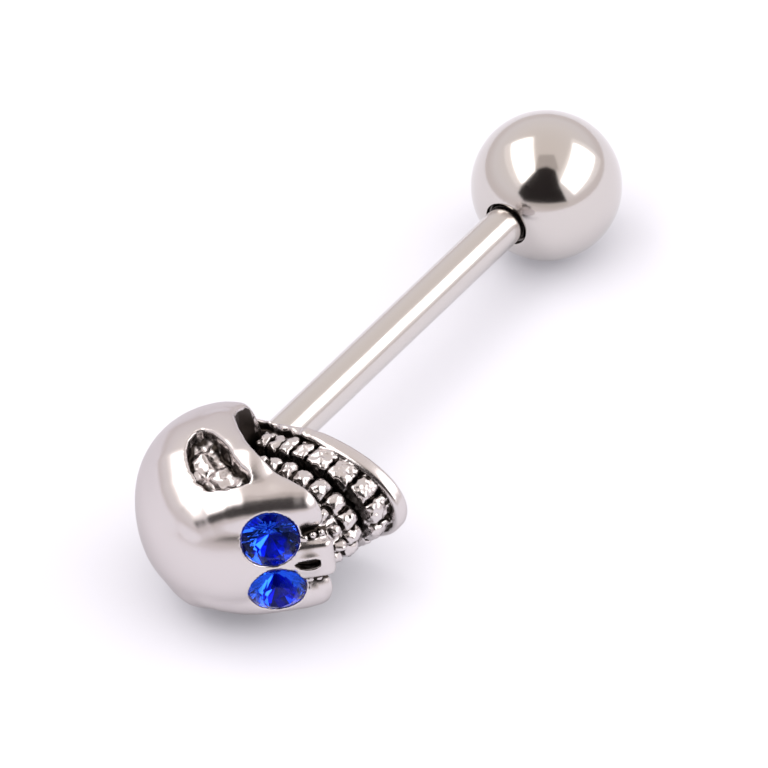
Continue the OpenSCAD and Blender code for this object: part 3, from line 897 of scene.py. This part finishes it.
def stone_points(sign, local):
    """Points in a stone's own axes, z its axis with the girdle at 0, carried to the barbell's."""
    p = np.asarray(local, float)
    c, s = math.cos(STONE_YAW), math.sin(STONE_YAW)
    out, across, along = p[:, 2], p[:, 1], p[:, 0]
    fx = STONE_FRONT + out * c - sign * across * s
    fy = sign * STONE_SPACING / 2 + sign * out * s + across * c
    fz = -STONE_DROP + along
    return from_face(np.stack([fx, fy, fz], 1))


# Shares of the stone's radius and heights at the corners of its facets
TABLE_SHARE = 0.56
STAR_SHARE = 0.78
STAR_HEIGHT = 0.56
MAIN_SHARE = 0.28
MAIN_DEPTH = 0.75


def facet_ring(count, radius, z, shift=0.0):
    turns = [2 * math.pi * (i + shift) / count for i in range(count)]
    return [(radius * math.cos(a), radius * math.sin(a), z) for a in turns]


def cut_stone(name, sign):
    """A round cut: table, 8 stars, 8 kites, 16 upper facets, girdle, 16 lower facets and 8 mains."""
    half = GIRDLE / 2
    pts = facet_ring(8, TABLE_SHARE * STONE_R, half + CROWN)
    pts += facet_ring(8, STAR_SHARE * STONE_R, half + STAR_HEIGHT * CROWN, 0.5)
    pts += facet_ring(16, STONE_R, half)
    pts += facet_ring(16, STONE_R, -half)
    pts += facet_ring(8, MAIN_SHARE * STONE_R, -half - MAIN_DEPTH * PAVILION, 0.5)
    pts.append((0, 0, -half - PAVILION))
    # where each ring begins: table, stars, upper and lower girdle, mains, culet
    t, s, u, w, d, c = 0, 8, 16, 32, 48, 56
    faces = [list(range(8))]
    for i in range(8):
        j = (i + 1) % 8
        a, b, m = u + 2 * i, u + 2 * j, u + 2 * i + 1
        faces.append([t + i, s + i, t + j])
        before = s + (i - 1) % 8
        faces.append([t + i, before, a, s + i])
        faces.append([s + i, a, m])
        faces.append([s + i, m, b])
        la, lb, lm = w + 2 * i, w + 2 * j, w + 2 * i + 1
        faces.append([a, la, lm, m])
        faces.append([m, lm, lb, b])
        faces.append([la, d + (i - 1) % 8, c, d + i])
        faces.append([la, d + i, lm])
        faces.append([lm, d + i, lb])
    return make_mesh(name, to_row(stone_points(sign, pts)), faces, smooth=False)


# Painted sparkle: the tone of each of the foil's facets, from dark to bright, round the outer and the inner
# ring
OUTER_TONES = [0.45, 0.15, 0.45, 0.6, 0.3, 0.5, 0.1, 0.4, 0.3, 0.1, 0.78, 0.3, 0.05, 0.9, 0.2, 0.5]
INNER_TONES = [0.3, 0.6, 0.15, 0.5, 0.35, 0.55, 0.1, 0.3, 0.15, 0.45, 0.2, 0.6, 0.3, 0.5, 1.0, 0.55]


# The foil's facets round, its gaps to the stone and its tip, and where its facets bend
FOIL_SIDES = 16
FOIL_GAP = 0.012
FOIL_RIM_GAP = 0.01
FOIL_TIP_R = 0.02
FOIL_BEND_SHARE = 0.55
FOIL_BEND_DEPTH = 0.46
FOIL_DIP = 0.05


def foil_cup(name, sign):
    """The faceted foil behind a stone's pavilion, a hair below it."""
    n = FOIL_SIDES
    half = GIRDLE / 2
    bend = FOIL_BEND_SHARE * STONE_R
    pts = facet_ring(n, STONE_R - FOIL_RIM_GAP, -half - FOIL_GAP)
    # every second corner stands a little lower, so that neighbouring facets turn apart
    for i, (x, y, z) in enumerate(facet_ring(n, bend, -half - FOIL_BEND_DEPTH * PAVILION - FOIL_GAP)):
        pts.append((x, y, z - (FOIL_DIP if i % 2 else 0.0)))
    pts += facet_ring(n, FOIL_TIP_R, -half - PAVILION - FOIL_GAP)
    faces = []
    tones = []
    for ring, row in ((0, OUTER_TONES), (1, INNER_TONES)):
        for i in range(n):
            j = (i + 1) % n
            a, b, c, d = ring * n + i, ring * n + j, (ring + 1) * n + j, (ring + 1) * n + i
            faces += [(c, b, a), (d, c, a)]
            tones += [row[i], 0.7 * row[i] + 0.3 * row[j]]
    faces.append([2 * n + i for i in range(n)])
    tones.append(0.3)
    cup = make_mesh(name, to_row(stone_points(sign, pts)), faces, smooth=False, closed=False)
    add_values(cup, "painted_sparkle", "FACE", tones)
    return cup


crystal = crystal_material()
foil = foil_material()
for word, sign in (("left", 1), ("right", -1)):
    stone = cut_stone("cut_stone_" + word, sign)
    stone.data.materials.append(crystal)
    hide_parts("stone_" + word)
    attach(stone, "skull_and_bar")
    cup = foil_cup("foil_cup_" + word, sign)
    cup.data.materials.append(foil)
    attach(cup, "skull_and_bar")

# Floor
FLOOR_HALF = 0.35
FLOOR_CORNERS = [(-FLOOR_HALF, -FLOOR_HALF, 0), (FLOOR_HALF, -FLOOR_HALF, 0), (FLOOR_HALF, FLOOR_HALF, 0),
                 (-FLOOR_HALF, FLOOR_HALF, 0)]
PAPER = (0.45, 0.45, 0.482, 1)
floor = make_mesh("floor", FLOOR_CORNERS, [(0, 1, 2, 3)], closed=False)
mat, bsdf = shade("paper")[:2]
settings(bsdf, Base_Color=PAPER, Roughness=0.9, Specular_IOR_Level=0.1)
floor.data.materials.append(mat)

# Camera
CAMERA_PLACE = Vector((-0.29865, -0.23541, 0.32785))
CAMERA_RIGHT = Vector((0.56858, -0.81929, -0.07399))
CAMERA_BACK = Vector((-0.59539, -0.47192, 0.65024))
camera_data = bpy.data.cameras.new("camera")
camera_data.lens = 601.4
camera_data.sensor_width = 36
camera_data.clip_start = 0.01
camera_data.clip_end = 20
camera = bpy.data.objects.new("camera", camera_data)
bpy.context.scene.collection.objects.link(camera)
camera_up = CAMERA_BACK.cross(CAMERA_RIGHT)
camera.matrix_world = Matrix.Translation(CAMERA_PLACE) @ Matrix(
    (CAMERA_RIGHT, camera_up, CAMERA_BACK)).transposed().to_4x4()
bpy.context.scene.camera = camera

# Lights: each direction is right, down and towards the camera, as the ball mirrors it
CAMERA_DOWN = -camera_up
CAMERA_UP_WORLD = Vector((-0.1, -0.1, 1.0)).normalized()


def seen_from_ball(right, down, back):
    """A direction given as right, down and towards the camera."""
    return (CAMERA_RIGHT * right + CAMERA_DOWN * down + CAMERA_BACK * back).normalized()


def softbox(name, way, distance, width, height, brightness, colour, roll=0.0):
    """An even rectangular light that faces the barbell; its brightness is radiance in W per sq m per sr."""
    data = bpy.data.lights.new(name, "AREA")
    data.shape = "RECTANGLE"
    data.size, data.size_y = width, height
    data.energy = brightness * math.pi * width * height
    data.color = colour
    obj = bpy.data.objects.new(name, data)
    bpy.context.scene.collection.objects.link(obj)
    across = CAMERA_RIGHT - way * CAMERA_RIGHT.dot(way)
    across.normalize()
    across = Matrix.Rotation(roll, 3, way) @ across
    obj.matrix_world = Matrix.Translation(way * distance) @ Matrix(
        (across, way.cross(across), way)).transposed().to_4x4()
    obj.visible_camera = False
    return obj


# The two softboxes and the paler rims of their tents
RIGHT_ROLL = math.radians(-14)
SOFTBOXES = [
    # name, direction from the ball, distance, width and height in m, radiance, colour, roll
    ("softbox_left", (-0.548, -0.619, 0.563), 0.6, 0.33, 0.8, 1.8, (1.0, 0.98, 0.97), 0.0),
    ("softbox_right", (0.752, -0.39, 0.53), 0.6, 0.38, 0.83, 1.8, (1.0, 0.99, 0.98), RIGHT_ROLL),
    ("glow_left", (-0.6, -0.6, 0.53), 0.62, 0.5, 0.9, 0.22, (1.0, 0.93, 0.9), 0.0),
    ("glow_right", (0.78, -0.42, 0.46), 0.62, 0.55, 0.95, 0.22, (1.0, 0.96, 0.93), RIGHT_ROLL),
]
for name, direction, *rest in SOFTBOXES:
    softbox(name, seen_from_ball(*direction), *rest)

# Even light on the paper alone, as white walls all round give
fill = softbox("fill", CAMERA_UP_WORLD, 0.7, 0.9, 0.9, 2.95, (1.0, 0.99, 1.0))
fill.visible_glossy = False
fill.visible_transmission = False
fill.data.use_shadow = False


def mirrored_card(name, corners, distance, radiance):
    """A flat card behind the camera's plane, seen only in mirrors; corners are the normals that mirror it."""
    spots = []
    for right, down in corners:
        back = math.sqrt(1 - right * right - down * down)
        way = (2 * back * right, 2 * back * down, 2 * back * back - 1)
        spot = CAMERA_RIGHT * way[0] + CAMERA_DOWN * way[1] + CAMERA_BACK * way[2]
        spots.append(spot * (distance / way[2]))
    card = make_mesh(name, spots, [tuple(range(len(spots)))], smooth=False, closed=False)
    mat, bsdf = shade(name)[:2]
    settings(bsdf, Base_Color=(0, 0, 0, 1), Specular_IOR_Level=0.0, Emission_Color=radiance + (1,),
             Emission_Strength=1.0)
    card.data.materials.append(mat)
    card.visible_camera = False
    card.visible_diffuse = False
    card.visible_shadow = False


# The dark camera and what stands round it, which the polished steel mirrors
CARDS = [
    # name, corners as right and down of the normal that mirrors each, distance in m, radiance
    ("camera_card", [(-0.38, 0.1), (-0.3, 0.21), (0.27, 0.21), (0.17, 0.0), (0.12, -0.2), (0.0, -0.25),
                     (-0.12, -0.22), (-0.25, -0.09), (-0.34, 0.02)], 0.50, (0.018, 0.014, 0.014)),
    ("grey_above", [(-0.16, -0.2), (-0.1, -0.4), (0.1, -0.4), (0.16, -0.2)], 0.52, (0.60, 0.54, 0.51)),
    ("grey_below", [(-0.28, 0.2), (-0.2, 0.27), (0.03, 0.31), (0.26, 0.27), (0.3, 0.2)], 0.52,
     (0.74, 0.68, 0.66)),
]
for card in CARDS:
    mirrored_card(*card)

# The tent's tone by the height of the direction, from level to straight up
TENT = [(0.0, (0.84, 0.77, 0.775, 1)), (0.1, (0.84, 0.77, 0.775, 1)), (0.3, (0.95, 0.90, 0.92, 1)),
        (0.6, (0.97, 0.91, 0.90, 1)), (1.0, (0.92, 0.84, 0.80, 1))]
world = bpy.data.worlds.new("tent")
bpy.context.scene.world = world
world.use_nodes = True
background = world.node_tree.nodes["Background"]
nodes, links = world.node_tree.nodes, world.node_tree.links
toward = nodes.new("ShaderNodeTexCoord")
split = nodes.new("ShaderNodeSeparateXYZ")
links.new(toward.outputs["Generated"], split.inputs[0])
rise = nodes.new("ShaderNodeValToRGB")
links.new(split.outputs["Z"], rise.inputs["Fac"])
links.new(rise.outputs["Color"], background.inputs["Color"])
stops = rise.color_ramp.elements
stops[0].position, stops[0].color = TENT[0]
stops[1].position, stops[1].color = TENT[-1]
for height, colour in TENT[1:-1]:
    stops.new(height).color = colour
background.inputs["Strength"].default_value = 1.0

bpy.context.scene.view_settings.view_transform = "Standard"
bpy.context.scene.view_settings.exposure = 0.0
